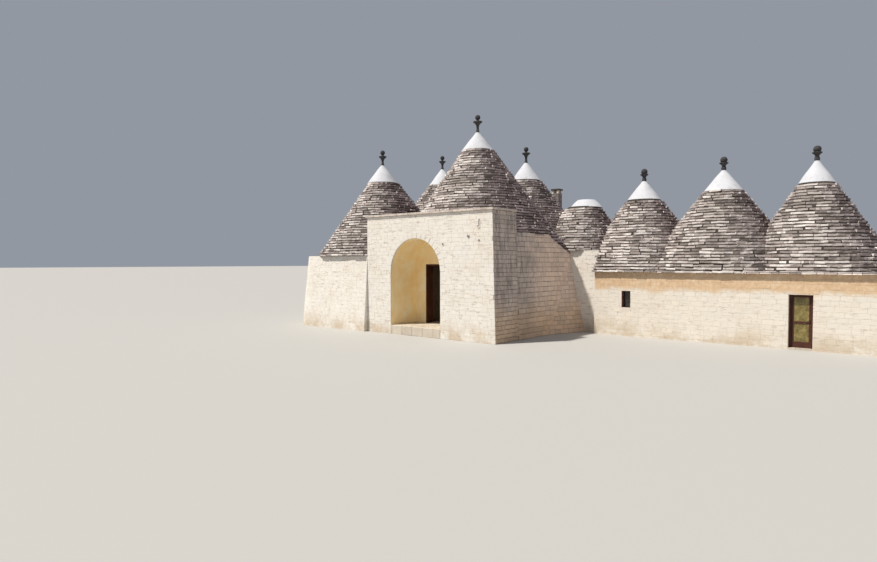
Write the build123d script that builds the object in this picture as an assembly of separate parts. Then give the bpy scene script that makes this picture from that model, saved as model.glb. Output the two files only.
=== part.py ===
from build123d import *
from math import asin, atan2, cos, degrees, hypot, pi, sin
import os

# A trullo house: eight drystone cones over thick limewashed walls.
# While it is drawn, X runs to the right along the main facade, Y runs back into
# the house, and X0, Y0 is the right-hand front corner of the facade, at the level
# of the lowest ground. The last lines move the house so that its origin is the
# centre of its footprint. All sizes are in millimetres.

# Heights above the lowest ground
main_floor_level = 400.0
wing_floor_level = 60.0
facade_height = 5400.0
main_eave = 4550.0
left_eave = 3600.0
link_eave = 3850.0
wing_eave = 2850.0

# Plan lines of the walls
main_width = 7200.0
main_wall = 1700.0
facade_depth = 1750.0
main_front_wall_thickness = 450.0
main_room_depth = 4200.0
main_back_wall_thickness = 700.0
left_width = 5100.0
left_front_wall_thickness = 1300.0
left_side_wall_thickness = 1500.0
left_cross_wall_start = 4700.0
left_cross_wall_thickness = 1700.0
left_rear_wall_thickness = 1700.0
house_depth = 11600.0
rear_wall_thickness = 1500.0
link_front = 6500.0
link_front_wall_thickness = 1600.0
link_left_edge = -1900.0
link_left_wall = 600.0
link_right_edge = 1100.0
link_right_wall = 550.0
wing_front = 6100.0
wing_end = 12900.0
wing_wall = 1100.0
wing_cross_wall = 1000.0

# Battered walls lean in as they rise
end_batter = 750.0
front_batter = 250.0
corner_radius_top = 1000.0
corner_radius_foot = 1750.0
buttress_foot = 1050.0
buttress_start = 5100.0
shoulder_start = 5400.0

# Porch arch and the doorway behind it
arch_centre = -4000.0
arch_half_span = 1300.0
arch_spring = 3050.0
door_width = 2100.0
door_head_level = 3200.0

# Thin stone coping round the top of the facade
coping_thickness = 100.0
coping_projection = 80.0
coping_front_depth = 700.0
coping_side_depth = 380.0

# Small window of the wing
window_left = 2810.0
window_width = 400.0
window_sill = 1270.0
window_height = 740.0
window_setback = 180.0
window_bar = 40.0
window_frame_depth = 60.0
window_pane_thickness = 8.0
front_wall_joint = 5000.0

# Doorway of the wing, with a timber frame and a glazed leaf
wing_door_left = 9370.0
wing_door_width = 800.0
wing_door_head = 2120.0
door_setback = 150.0
frame_bar = 60.0
frame_depth = 90.0
frame_stop = 14.0
stop_gap = 5.0
leaf_gap = 8.0
leaf_thickness = 44.0
leaf_stile = 85.0
leaf_bottom_rail = 220.0
leaf_middle_rail = 90.0
leaf_middle_height = 900.0
pane_thickness = 12.0
hinge_radius = 9.0
hinge_length = 90.0
hinge_flap_width = 40.0
hinge_flap_thickness = 3.0
hinge_inset = 220.0
hinge_play = 0.3

# Drystone cones
roof_spread = 0.75
roof_overhang = 180.0
main_roof_overhang = 60.0
roof_joint = 2.0
dome_rise = 1.55
dome_closing_radius = 200.0
cap_radius = 700.0
pinnacle_foot_radius = 100.0
flat_cap_radius = 800.0
flat_cap_height = 420.0

main_cone = (-3600.0, 4100.0, 9740.0)
left_cone = (-9200.0, 3000.0, 8500.0)
rear_left_cone = (-9200.0, 8000.0, 8860.0)
rear_cone = (-3600.0, 8350.0, 8710.0)
link_cone = (-360.0, 9000.0, 7190.0)
wing_left_cone = (2660.0, 9000.0, 7300.0)
wing_middle_cone = (6250.0, 9000.0, 7480.0)
wing_right_cone = (9920.0, 9000.0, 7450.0)

main_dome_radius = 1900.0
left_dome_radius = 1550.0
rear_left_dome_radius = 1500.0
rear_dome_radius = 1250.0
link_dome_radius = 850.0
wing_dome_radius = 1250.0

# Turned stone pinnacle
stem_radius = 75.0
stem_height = 400.0
bowl_radius = 220.0
bowl_height = 110.0
neck_radius = 95.0
neck_height = 110.0
ball_radius = 145.0
ball_flats = 7

# Chimney on the rear cone
chimney_x = -2300.0
chimney_y = 9400.0
chimney_side = 400.0
chimney_top = 7250.0
chimney_slab_side = 480.0
chimney_slab_thickness = 80.0
smoke_slot_height = 170.0
smoke_slot_width = 200.0
chimney_foot = 5600.0

# Lines that follow from the sizes above
left_edge = -main_width - left_width
room_front = facade_depth + main_front_wall_thickness
room_back = room_front + main_room_depth
rear_room_front = room_back + main_back_wall_thickness
rear_room_back = house_depth - rear_wall_thickness
room_left = -main_width + main_wall
room_right = -main_wall
door_left = arch_centre - door_width / 2
door_right = arch_centre + door_width / 2
arch_left = arch_centre - arch_half_span
arch_right = arch_centre + arch_half_span
wing_room_front = wing_front + wing_wall
wing_room_back = house_depth - wing_wall
wing_door_right = wing_door_left + wing_door_width
reach = 20000.0

pieces = {}


def block(x0, x1, y0, y1, z0, z1):
    """A straight block of masonry between two corners."""
    size = Box(x1 - x0, y1 - y0, z1 - z0, align=(Align.MIN, Align.MIN, Align.MIN))
    return Pos(x0, y0, z0) * size


def prism_along_y(points, y0, y1):
    """A wall whose section in X and Z stays the same from y0 to y1."""
    face = make_face(Polyline([(x, y0, z) for x, z in points], close=True))
    return extrude(face, amount=y1 - y0, dir=(0, 1, 0))


def prism_along_x(points, x0, x1):
    """A wall whose section in Y and Z stays the same from x0 to x1."""
    face = make_face(Polyline([(x0, y, z) for y, z in points], close=True))
    return extrude(face, amount=x1 - x0, dir=(1, 0, 0))


# Facade with the porch
def facade_piers():
    pieces["facade_left_pier"] = block(-main_width, arch_left, 0, facade_depth, 0, facade_height)
    pieces["facade_right_pier"] = block(arch_right, 0, 0, facade_depth, 0, facade_height)


def facade_arch():
    """The masonry over the porch, with the round arch on its underside."""
    mass = block(arch_left, arch_right, 0, facade_depth, arch_spring, facade_height)
    barrel = Pos(arch_centre, facade_depth / 2, arch_spring) * Rot(90, 0, 0) * Cylinder(
        arch_half_span, 2 * facade_depth
    )
    pieces["facade_arch"] = mass - barrel


def facade_coping():
    """Thin slabs on three sides of the flat top, which throw the rain clear."""
    top = facade_height + coping_thickness
    outer = block(
        -main_width - coping_projection,
        coping_projection,
        -coping_projection,
        facade_depth,
        facade_height,
        top,
    )
    inner = block(
        -main_width + coping_side_depth,
        -coping_side_depth,
        coping_front_depth,
        facade_depth + coping_projection,
        facade_height,
        top,
    )
    pieces["facade_coping"] = outer - inner


# Walls of the main trullo and of the rear one behind it
def main_walls():
    pieces["main_front_wall_left"] = block(
        -main_width, door_left, facade_depth, room_front, 0, main_eave
    )
    pieces["main_front_wall_right"] = block(door_right, 0, facade_depth, room_front, 0, main_eave)
    pieces["main_door_head"] = block(
        door_left, door_right, facade_depth, room_front, door_head_level, main_eave
    )
    pieces["main_left_wall"] = block(-main_width, room_left, room_front, house_depth, 0, main_eave)
    shoulder = [
        (room_front, 0),
        (link_front, 0),
        (link_front, link_eave),
        (shoulder_start, main_eave),
        (room_front, main_eave),
    ]
    pieces["main_right_wall"] = prism_along_x(shoulder, room_right, 0)
    pieces["main_back_wall"] = block(
        room_left, room_right, room_back, rear_room_front, 0, main_eave
    ) - block(link_left_edge, 0, link_front, house_depth, 0, main_eave)
    pieces["rear_outer_wall"] = block(
        room_left, link_left_edge, rear_room_back, house_depth, 0, main_eave
    )


def corner_buttress():
    """A raking foot of masonry in the corner between the side wall and the wing."""
    section = [(0, 0), (buttress_foot, 0), (0, link_eave - coping_thickness)]
    pieces["corner_buttress"] = prism_along_y(section, buttress_start, wing_front)


def main_floor():
    """Stone floor of the porch, the doorway and the main room."""
    porch = block(arch_left, arch_right, 0, facade_depth, 0, main_floor_level)
    doorway = block(door_left, door_right, facade_depth, room_front, 0, main_floor_level)
    room = block(room_left, room_right, room_front, room_back, 0, main_floor_level)
    pieces["main_floor"] = porch + doorway + room


# Left-hand range, with its battered end
def left_outline(batter, radius, level):
    """Plan of the outer faces, wider by the batter, with a rounded front corner."""
    x0 = left_edge - batter * end_batter
    y0 = -batter * front_batter
    curve = Polyline(
        (x0, house_depth),
        (x0, y0 + radius),
    )
    turn = RadiusArc((x0, y0 + radius), (x0 + radius, y0), -radius)
    rest = Polyline(
        (x0 + radius, y0),
        (-main_width, y0),
        (-main_width, house_depth),
        (x0, house_depth),
    )
    return Pos(0, 0, level) * make_face(curve + turn + rest)


def left_walls():
    mass = loft(
        [left_outline(1, corner_radius_foot, 0), left_outline(0, corner_radius_top, left_eave)],
        ruled=True,
    )
    inside = left_edge + left_side_wall_thickness
    far = left_edge - reach
    front = block(far, -main_width, -reach, left_front_wall_thickness, 0, left_eave)
    side = block(far, inside, left_front_wall_thickness, house_depth, 0, left_eave)
    pieces["left_front_wall"] = mass & front
    pieces["left_side_wall"] = mass & side
    pieces["left_cross_wall"] = block(
        inside,
        -main_width,
        left_cross_wall_start,
        left_cross_wall_start + left_cross_wall_thickness,
        0,
        left_eave,
    )
    pieces["left_rear_wall"] = block(
        inside, -main_width, house_depth - left_rear_wall_thickness, house_depth, 0, left_eave
    )


# The small trullo with the flat top, between the main block and the wing
def link_walls():
    """Walls on the four sides of the small room."""
    mass = block(link_left_edge, link_right_edge, link_front, house_depth, 0, link_eave)
    raised = block(
        link_left_edge,
        link_left_edge + link_left_wall,
        link_front,
        house_depth,
        link_eave,
        main_eave,
    )
    room = block(
        link_left_edge + link_left_wall,
        link_right_edge - link_right_wall,
        link_front + link_front_wall_thickness,
        rear_room_back,
        0,
        main_eave,
    )
    pieces["link_walls"] = mass + raised - room


# Right-hand wing
def wing_front_walls():
    left = block(link_right_edge, front_wall_joint, wing_front, wing_room_front, 0, wing_eave)
    window = block(
        window_left,
        window_left + window_width,
        wing_front - wing_wall,
        wing_room_front + wing_wall,
        window_sill,
        window_sill + window_height,
    )
    pieces["wing_front_wall_left"] = left - window
    window_frame()
    pieces["wing_front_wall_middle"] = block(
        front_wall_joint, wing_door_left, wing_front, wing_room_front, 0, wing_eave
    )
    pieces["wing_front_wall_right"] = block(
        wing_door_right, wing_end, wing_front, wing_room_front, 0, wing_eave
    )
    pieces["wing_door_head"] = block(
        wing_door_left, wing_door_right, wing_front, wing_room_front, wing_door_head, wing_eave
    )


def window_frame():
    """A small fixed timber frame with one pane, set back in the opening."""
    right = window_left + window_width
    top = window_sill + window_height
    y0 = wing_front + window_setback
    y1 = y0 + window_frame_depth
    frame = block(window_left, right, y0, y1, window_sill, top)
    sight = (
        window_left + window_bar,
        right - window_bar,
        window_sill + window_bar,
        top - window_bar,
    )
    pieces["window_frame"] = frame - block(sight[0], sight[1], 0, 2 * y1, sight[2], sight[3])
    middle = (y0 + y1) / 2
    pieces["window_pane"] = block(
        sight[0],
        sight[1],
        middle - window_pane_thickness / 2,
        middle + window_pane_thickness / 2,
        sight[2],
        sight[3],
    )


def middle_of(left, right):
    """The plan line halfway between two cones."""
    return (left[0] + right[0]) / 2


def wing_inner_walls():
    first = middle_of(wing_left_cone, wing_middle_cone)
    second = middle_of(wing_middle_cone, wing_right_cone)
    pieces["wing_cross_walls"] = Compound(
        children=[
            block(
                line - wing_cross_wall / 2,
                line + wing_cross_wall / 2,
                wing_room_front,
                wing_room_back,
                0,
                wing_eave,
            )
            for line in (first, second)
        ]
    )
    pieces["wing_end_wall"] = block(
        wing_end - wing_wall, wing_end, wing_room_front, wing_room_back, 0, wing_eave
    )
    pieces["wing_rear_wall"] = block(
        link_right_edge, wing_end, wing_room_back, house_depth, 0, wing_eave
    )
    room = block(
        second + wing_cross_wall / 2,
        wing_end - wing_wall,
        wing_room_front,
        wing_room_back,
        0,
        wing_floor_level,
    )
    doorway = block(
        wing_door_left, wing_door_right, wing_front, wing_room_front, 0, wing_floor_level
    )
    pieces["wing_floor"] = room + doorway


# Roofs
def meeting_distance(cone, other):
    """Distance from the axis of a cone to the valley where it meets another."""
    apart = hypot(other[0] - cone[0], other[1] - cone[1])
    return (apart + (cone[2] - other[2]) * roof_spread) / 2


def beyond_valley(cone, other):
    """Everything on the far side of the valley between two cones."""
    angle = atan2(other[1] - cone[1], other[0] - cone[0])
    start = meeting_distance(cone, other) - roof_joint / 2
    half_space = Box(reach, 2 * reach, 2 * reach, align=(Align.MIN, Align.CENTER, Align.CENTER))
    foot = Pos(cone[0] + start * cos(angle), cone[1] + start * sin(angle), 0)
    return foot * Rot(0, 0, degrees(angle)) * half_space


def cone_between(cone, low, high):
    """The outside of a drystone cone between two heights."""
    below = (cone[2] - low) * roof_spread
    above = (cone[2] - high) * roof_spread
    solid = Cone(below, above, high - low, align=(Align.CENTER, Align.CENTER, Align.MIN))
    return Pos(cone[0], cone[1], low) * solid


def dome_void(cone, radius, springing):
    """The corbelled dome inside a cone, closed at its top by one flat stone."""
    rise = (radius - dome_closing_radius) * dome_rise
    hollow = Cone(radius, dome_closing_radius, rise, align=(Align.CENTER, Align.CENTER, Align.MIN))
    return Pos(cone[0], cone[1], springing) * hollow


def drystone_roof(name, cone, top, eave, dome_radius, plot, neighbours):
    """One roof: a cone over its own plot, cut at the valleys, with its dome."""
    x0, x1, y0, y1 = plot
    roof = cone_between(cone, eave, top) & block(x0, x1, y0, y1, 0, reach)
    for other in neighbours:
        roof = roof - beyond_valley(cone, other)
    pieces[name] = roof - dome_void(cone, dome_radius, eave)


def cap_foot(cone):
    """The height at which the plastered cap of a cone begins."""
    return cone[2] - cap_radius / roof_spread


def roofs():
    left = left_edge - roof_overhang
    right = wing_end + roof_overhang
    back = house_depth + roof_overhang
    main_block = block(-main_width, room_left, 0, house_depth, 0, main_eave)
    drystone_roof(
        "main_roof",
        main_cone,
        cap_foot(main_cone),
        main_eave,
        main_dome_radius,
        (-reach, main_roof_overhang, 0, reach),
        [left_cone, rear_left_cone, rear_cone, link_cone],
    )
    pieces["main_roof"] = pieces["main_roof"] - block(-reach, reach, 0, facade_depth, 0, facade_height)
    drystone_roof(
        "left_roof",
        left_cone,
        cap_foot(left_cone),
        left_eave,
        left_dome_radius,
        (left, reach, -roof_overhang, reach),
        [main_cone, rear_left_cone],
    )
    facade = block(-main_width, 0, -reach, facade_depth, 0, facade_height)
    beside_coping = block(
        -main_width - coping_projection - roof_joint,
        -main_width + coping_side_depth + roof_joint,
        -reach,
        facade_depth + roof_joint,
        facade_height - roof_joint,
        facade_height + coping_thickness + roof_joint,
    )
    pieces["left_roof"] = pieces["left_roof"] - main_block - facade - beside_coping
    drystone_roof(
        "rear_left_roof",
        rear_left_cone,
        cap_foot(rear_left_cone),
        left_eave,
        rear_left_dome_radius,
        (left, reach, 0, back),
        [main_cone, left_cone, rear_cone],
    )
    pieces["rear_left_roof"] = pieces["rear_left_roof"] - main_block
    drystone_roof(
        "rear_roof",
        rear_cone,
        cap_foot(rear_cone),
        main_eave,
        rear_dome_radius,
        (-reach, reach, 0, back),
        [main_cone, rear_left_cone, link_cone],
    )
    drystone_roof(
        "link_roof",
        link_cone,
        link_cone[2] - flat_cap_radius / roof_spread,
        link_eave,
        link_dome_radius,
        (-reach, reach, 0, back),
        [main_cone, rear_cone, wing_left_cone],
    )
    raised = block(
        link_left_edge, link_left_edge + link_left_wall, 0, house_depth, link_eave, main_eave
    )
    pieces["link_roof"] = pieces["link_roof"] - raised
    wing_plot = (link_right_edge, right, wing_front - roof_overhang, back)
    drystone_roof(
        "wing_left_roof",
        wing_left_cone,
        cap_foot(wing_left_cone),
        wing_eave,
        wing_dome_radius,
        wing_plot,
        [link_cone, wing_middle_cone],
    )
    drystone_roof(
        "wing_middle_roof",
        wing_middle_cone,
        cap_foot(wing_middle_cone),
        wing_eave,
        wing_dome_radius,
        wing_plot,
        [wing_left_cone, wing_right_cone],
    )
    drystone_roof(
        "wing_right_roof",
        wing_right_cone,
        cap_foot(wing_right_cone),
        wing_eave,
        wing_dome_radius,
        wing_plot,
        [wing_middle_cone],
    )


def pinnacle():
    """A turned stone: a stem, a flared bowl, a neck and a ball, cut by hand in flats."""
    bowl_foot = stem_height
    bowl_top = bowl_foot + bowl_height
    neck_top = bowl_top + neck_height
    seat_angle = asin(neck_radius / ball_radius)
    ball_centre = neck_top + ball_radius * cos(seat_angle)
    outline = [
        (0, 0, 0),
        (pinnacle_foot_radius, 0, 0),
        (stem_radius, 0, stem_height * 0.6),
        (neck_radius, 0, bowl_foot),
        (bowl_radius, 0, bowl_foot + bowl_height / 2),
        (bowl_radius, 0, bowl_top),
        (neck_radius, 0, bowl_top),
        (stem_radius, 0, bowl_top + neck_height / 2),
    ]
    for step in range(ball_flats + 1):
        angle = seat_angle + (pi - seat_angle) * step / ball_flats
        outline.append((ball_radius * sin(angle), 0, ball_centre - ball_radius * cos(angle)))
    outline[-1] = (0, 0, ball_centre + ball_radius)
    return revolve(make_face(Polyline(outline, close=True)), axis=Axis.Z)


def caps_and_pinnacles():
    """White plastered tops, each with its pinnacle, and one broad flat top."""
    pointed = [
        main_cone,
        left_cone,
        rear_left_cone,
        rear_cone,
        wing_left_cone,
        wing_middle_cone,
        wing_right_cone,
    ]
    caps = []
    pinnacles = []
    for cone in pointed:
        tip = cone[2] - pinnacle_foot_radius / roof_spread
        caps.append(cone_between(cone, cap_foot(cone), tip))
        pinnacles.append(Pos(cone[0], cone[1], tip) * pinnacle())
    foot = link_cone[2] - flat_cap_radius / roof_spread
    caps.append(cone_between(link_cone, foot, foot + flat_cap_height))
    pieces["roof_caps"] = Compound(children=caps)
    pieces["pinnacles"] = Compound(children=pinnacles)


def chimney():
    """A square stack through the rear roof, open on all sides under its slab."""
    half = chimney_side / 2
    stack_top = chimney_top - chimney_slab_thickness
    stack = block(
        chimney_x - half,
        chimney_x + half,
        chimney_y - half,
        chimney_y + half,
        chimney_foot,
        stack_top,
    )
    pieces["rear_roof"] = pieces["rear_roof"] - stack
    slot = smoke_slot_width / 2
    slot_foot = stack_top - smoke_slot_height
    across = block(
        chimney_x - reach, chimney_x + reach, chimney_y - slot, chimney_y + slot, slot_foot, stack_top
    )
    along = block(
        chimney_x - slot, chimney_x + slot, chimney_y - reach, chimney_y + reach, slot_foot, stack_top
    )
    pieces["chimney_stack"] = stack - across - along
    edge = chimney_slab_side / 2
    pieces["chimney_slab"] = block(
        chimney_x - edge,
        chimney_x + edge,
        chimney_y - edge,
        chimney_y + edge,
        stack_top,
        chimney_top,
    )


# Timber door of the wing
def hinge_axis():
    """Plan position of the pins, behind the gap on the left of the leaf."""
    x = wing_door_left + frame_bar + leaf_gap / 2
    y = wing_front + door_setback + frame_depth + hinge_radius
    return x, y


def hinge_half(low, side):
    """Half a butt hinge: a knuckle round the pin and a flap to the given side."""
    x, y = hinge_axis()
    height = (hinge_length - hinge_play) / 2
    knuckle = Cylinder(hinge_radius, height, align=(Align.CENTER, Align.CENTER, Align.MIN))
    ends = sorted((x, x + side * hinge_flap_width))
    back = y - hinge_radius
    flap = block(ends[0], ends[1], back, back + hinge_flap_thickness, low, low + height)
    return Pos(x, y, low) * knuckle + flap


def hinge_levels():
    """Feet of the two hinges, near the top and the bottom of the leaf."""
    low = wing_floor_level + hinge_inset
    high = wing_door_head - frame_bar - hinge_inset - hinge_length
    return low, high


def door_frame():
    """Two posts and a head, set back in the doorway, with a stop for the leaf."""
    y0 = wing_front + door_setback
    y1 = y0 + frame_depth
    stop_end = y1 - leaf_thickness - stop_gap
    left = wing_door_left + frame_bar
    right = wing_door_right - frame_bar
    head = wing_door_head - frame_bar
    frame = block(wing_door_left, wing_door_right, y0, y1, wing_floor_level, wing_door_head)
    frame = frame - block(left, right, stop_end, 2 * y1, 0, head)
    frame = frame - block(left + frame_stop, right - frame_stop, 0, 2 * y1, 0, head - frame_stop)
    for level in hinge_levels():
        frame = frame + hinge_half(level, -1)
    pieces["wing_door_frame"] = frame


def door_leaf():
    """A leaf with two panes, hung on the left and opening into the room."""
    x0 = wing_door_left + frame_bar + leaf_gap
    x1 = wing_door_right - frame_bar - leaf_gap
    y1 = wing_front + door_setback + frame_depth
    y0 = y1 - leaf_thickness
    z0 = wing_floor_level + leaf_gap
    z1 = wing_door_head - frame_bar - leaf_gap
    leaf = block(x0, x1, y0, y1, z0, z1)
    rail_low = z0 + leaf_middle_height
    rail_high = rail_low + leaf_middle_rail
    lights = ((z0 + leaf_bottom_rail, rail_low), (rail_high, z1 - leaf_stile))
    middle = (y0 + y1) / 2
    panes = []
    for low, high in lights:
        leaf = leaf - block(x0 + leaf_stile, x1 - leaf_stile, y0, y1, low, high)
        panes.append(
            block(
                x0 + leaf_stile,
                x1 - leaf_stile,
                middle - pane_thickness / 2,
                middle + pane_thickness / 2,
                low,
                high,
            )
        )
    pieces["wing_door_panes"] = Compound(children=panes)
    for level in hinge_levels():
        leaf = leaf + hinge_half(level + (hinge_length + hinge_play) / 2, 1)
    pieces["wing_door_leaf"] = leaf


facade_piers()
facade_arch()
facade_coping()
main_walls()
corner_buttress()
main_floor()
left_walls()
link_walls()
wing_front_walls()
wing_inner_walls()
roofs()
caps_and_pinnacles()
chimney()
door_frame()
door_leaf()

# The origin is the middle of the footprint, on the ground
lowest_x = left_edge - end_batter
highest_x = wing_end + roof_overhang
lowest_y = -max(roof_overhang, front_batter)
highest_y = house_depth + roof_overhang
to_origin = Pos(-(lowest_x + highest_x) / 2, -(lowest_y + highest_y) / 2, 0)

os.makedirs("parts", exist_ok=True)
for name, piece in pieces.items():
    export_step(to_origin * piece, os.path.join("parts", name + ".step"))
print(len(pieces), "pieces")
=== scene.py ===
import math

import bmesh
import bpy
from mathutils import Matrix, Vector, noise


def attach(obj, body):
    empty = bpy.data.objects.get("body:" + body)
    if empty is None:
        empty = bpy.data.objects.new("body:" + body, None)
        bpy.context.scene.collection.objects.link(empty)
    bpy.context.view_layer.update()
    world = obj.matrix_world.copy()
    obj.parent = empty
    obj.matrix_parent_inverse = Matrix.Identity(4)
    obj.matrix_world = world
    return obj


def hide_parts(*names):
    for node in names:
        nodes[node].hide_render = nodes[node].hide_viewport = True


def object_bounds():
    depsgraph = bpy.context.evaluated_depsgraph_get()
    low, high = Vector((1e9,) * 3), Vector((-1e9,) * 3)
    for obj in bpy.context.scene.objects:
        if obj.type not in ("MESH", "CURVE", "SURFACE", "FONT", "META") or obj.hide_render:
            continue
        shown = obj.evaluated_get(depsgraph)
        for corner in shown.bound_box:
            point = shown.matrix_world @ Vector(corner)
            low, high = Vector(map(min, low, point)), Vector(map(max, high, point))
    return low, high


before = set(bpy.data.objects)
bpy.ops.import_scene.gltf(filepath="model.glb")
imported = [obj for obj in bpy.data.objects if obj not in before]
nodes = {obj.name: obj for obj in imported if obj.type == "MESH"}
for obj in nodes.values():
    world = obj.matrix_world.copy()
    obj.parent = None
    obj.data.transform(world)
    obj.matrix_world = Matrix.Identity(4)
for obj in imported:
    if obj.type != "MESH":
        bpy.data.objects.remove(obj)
cad_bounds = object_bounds()


# The view: from before the right-hand end of the house and 3.3 m up, looking
# forty degrees to the left of square-on and a little down, as in the photograph.
def linked(name, data):
    """A new object that stands in the scene."""
    made = bpy.data.objects.new(name, data)
    bpy.context.scene.collection.objects.link(made)
    return made


camera_data = bpy.data.cameras.new("view")
camera_data.lens = 24.63
camera_data.sensor_width = 36.0
camera = linked("view", camera_data)
camera.location = (13.775, -25.525, 3.3)
camera.rotation_euler = (math.radians(90 - 1.81), 0, math.radians(40))
bpy.context.scene.camera = camera


# The floor: a plain pale ground at the level of the lowest footing, and a
# soft sun from the front left with a pale sky, as in a bright studio.
floor_mesh = bpy.data.meshes.new("studio_floor")
floor_mesh.from_pydata(
    [(-400, -400, 0), (400, -400, 0), (400, 400, 0), (-400, 400, 0)], [], [(0, 1, 2, 3)]
)
floor = linked("studio_floor", floor_mesh)
floor_finish = bpy.data.materials.new("pale_floor")
floor_finish.use_nodes = True
floor_shader = floor_finish.node_tree.nodes["Principled BSDF"]
floor_shader.inputs["Base Color"].default_value = (0.45, 0.435, 0.41, 1)
floor_shader.inputs["Roughness"].default_value = 0.9
floor_mesh.materials.append(floor_finish)

sun_data = bpy.data.lights.new("sun", "SUN")
sun_data.energy = 4.6
sun_data.angle = math.radians(3)
sun_data.color = (1.0, 0.96, 0.89)
sun = linked("sun", sun_data)
sun.rotation_euler = (math.radians(32), 0, math.radians(-32))
sky = bpy.data.worlds.new("sky")
sky.use_nodes = True
sky.node_tree.nodes["Background"].inputs["Color"].default_value = (0.80, 0.87, 1.0, 1)
sky.node_tree.nodes["Background"].inputs["Strength"].default_value = 0.36
bpy.context.scene.world = sky
bpy.context.scene.view_settings.view_transform = "Standard"


# Roof cones: courses of thin limestone slabs laid dry, each course set back a
# little from the one under it, weathered grey with pale broken edges. Behind
# their edges is the packing of small stones and earth that they are bedded on,
# painted near black as the shade in the gaps between the courses.
class Wire:
    """A socket. Arithmetic on wires and numbers adds the Math nodes for it."""

    def __init__(self, socket):
        self.socket = socket

    def maths(self, operation, *values):
        """One Math node, of this wire alone unless values are given."""
        return Recipe(self.socket.id_data).node(
            "ShaderNodeMath", dict(enumerate(values or (self,))), operation=operation
        )

    def __getitem__(self, name):
        """Another output of the node that this wire comes from."""
        return Wire([o for o in self.socket.node.outputs if o.enabled and o.name == name][0])


for method, operation in {
    "__add__": "ADD", "__sub__": "SUBTRACT", "__mul__": "MULTIPLY", "__truediv__": "DIVIDE",
    "__gt__": "GREATER_THAN", "__lt__": "LESS_THAN", "least": "MINIMUM", "most": "MAXIMUM",
}.items():
    setattr(Wire, method, lambda wire, other, does=operation: wire.maths(does, wire, other))
Wire.__rsub__ = lambda wire, other: wire.maths("SUBTRACT", other, wire)


class Recipe:
    """A node tree that is written as a list of steps."""

    def __init__(self, tree):
        self.tree = tree

    def node(self, kind, sockets=None, **settings):
        made = self.tree.nodes.new(kind)
        for name, value in settings.items():
            if name == "stops":
                ramp = made.color_ramp.elements
                while len(ramp) < len(value):
                    ramp.new(0.5)
                for element, (place, colour) in zip(ramp, value):
                    element.position, element.color = place, (*colour, 1)
            else:
                setattr(made, name, value)
        for name, value in (sockets or {}).items():
            if isinstance(name, int):
                socket = made.inputs[name]
            else:
                socket = [s for s in made.inputs if s.enabled and s.name == name][0]
            if isinstance(value, Wire):
                self.tree.links.new(value.socket, socket)
            else:
                socket.default_value = value
        shown = [o for o in made.outputs if o.enabled]
        return Wire(shown[0]) if shown else None

    def split(self, vector):
        """The X, Y and Z of a vector, each taken by its name."""
        return self.node("ShaderNodeSeparateXYZ", {"Vector": vector})

    def point(self, **parts):
        return self.node("ShaderNodeCombineXYZ", parts)

    def vectors(self, operation, first, second):
        return self.node("ShaderNodeVectorMath", {0: first, 1: second}, operation=operation)

    def clamp(self, value):
        return self.node("ShaderNodeClamp", {"Value": value})

    def noise(self, scale, detail=3.0, roughness=0.6, stretch=None):
        """Noise over the Object coordinates, for a material."""
        where = self.vectors("MULTIPLY", self.place, stretch) if stretch else self.place
        sockets = {"Vector": where, "Scale": scale, "Detail": detail, "Roughness": roughness}
        return self.node("ShaderNodeTexNoise", sockets)

    def ramp(self, factor, *stops):
        return self.node("ShaderNodeValToRGB", {"Fac": factor}, stops=stops)

    def mix(self, factor, first, second, way="MIX"):
        sockets = {"Factor": factor, "A": first, "B": second}
        return self.node("ShaderNodeMix", sockets, data_type="RGBA", blend_type=way)

    def between(self, value, low, high):
        """Nought under low, one over high, and smooth between."""
        sockets = {"Value": value, "From Min": low, "From Max": high}
        return self.node("ShaderNodeMapRange", sockets, interpolation_type="SMOOTHSTEP")

    def attribute(self, name):
        """A number that the mesh carries, for a material."""
        return self.node("ShaderNodeAttribute", attribute_name=name)["Fac"]

    def facing(self):
        """The way the surface faces, for a material."""
        return self.split(self.node("ShaderNodeNewGeometry")["Normal"])

    def feed(self, **values):
        """Links wires to the shader's sockets: Base_Color, Roughness, Height and so on."""
        shader = self.tree.nodes["Principled BSDF"]
        for name, value in values.items():
            if name == "Height":
                height, strength, distance = value
                sockets = {"Height": height, "Strength": strength, "Distance": distance}
                name, value = "Normal", self.node("ShaderNodeBump", sockets)
            self.tree.links.new(value.socket, shader.inputs[name.replace("_", " ")])

    def chance(self, low, high, seed, number=None):
        """A random number, its own for each element or for each of these numbers."""
        sockets = {"Min": low, "Max": high, "Seed": seed}
        if number is not None:
            sockets["ID"] = number
        return self.node("FunctionNodeRandomValue", sockets)

    def on(self, geometry, kind, sockets=None, **settings):
        """The next step for a geometry, which is the first input of each such node."""
        return self.node("GeometryNode" + kind, {0: geometry, **(sockets or {})}, **settings)

    def stored(self, geometry, name, value, domain="POINT"):
        sockets = {"Name": name, "Value": value}
        return self.on(
            geometry, "StoreNamedAttribute", sockets, data_type="FLOAT", domain=domain
        )

    def kept(self, name):
        return self.node("GeometryNodeInputNamedAttribute", {"Name": name}, data_type="FLOAT")


def finish_of(name, roughness, specular=0.25):
    """A new material and its recipe, which knows the Object coordinates as its place."""
    material = bpy.data.materials.new(name)
    material.use_nodes = True
    recipe = Recipe(material.node_tree)
    shader = material.node_tree.nodes["Principled BSDF"]
    shader.inputs["Roughness"].default_value = roughness
    shader.inputs["Specular IOR Level"].default_value = specular
    recipe.place = recipe.node("ShaderNodeTexCoord")["Object"]
    return material, recipe


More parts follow.
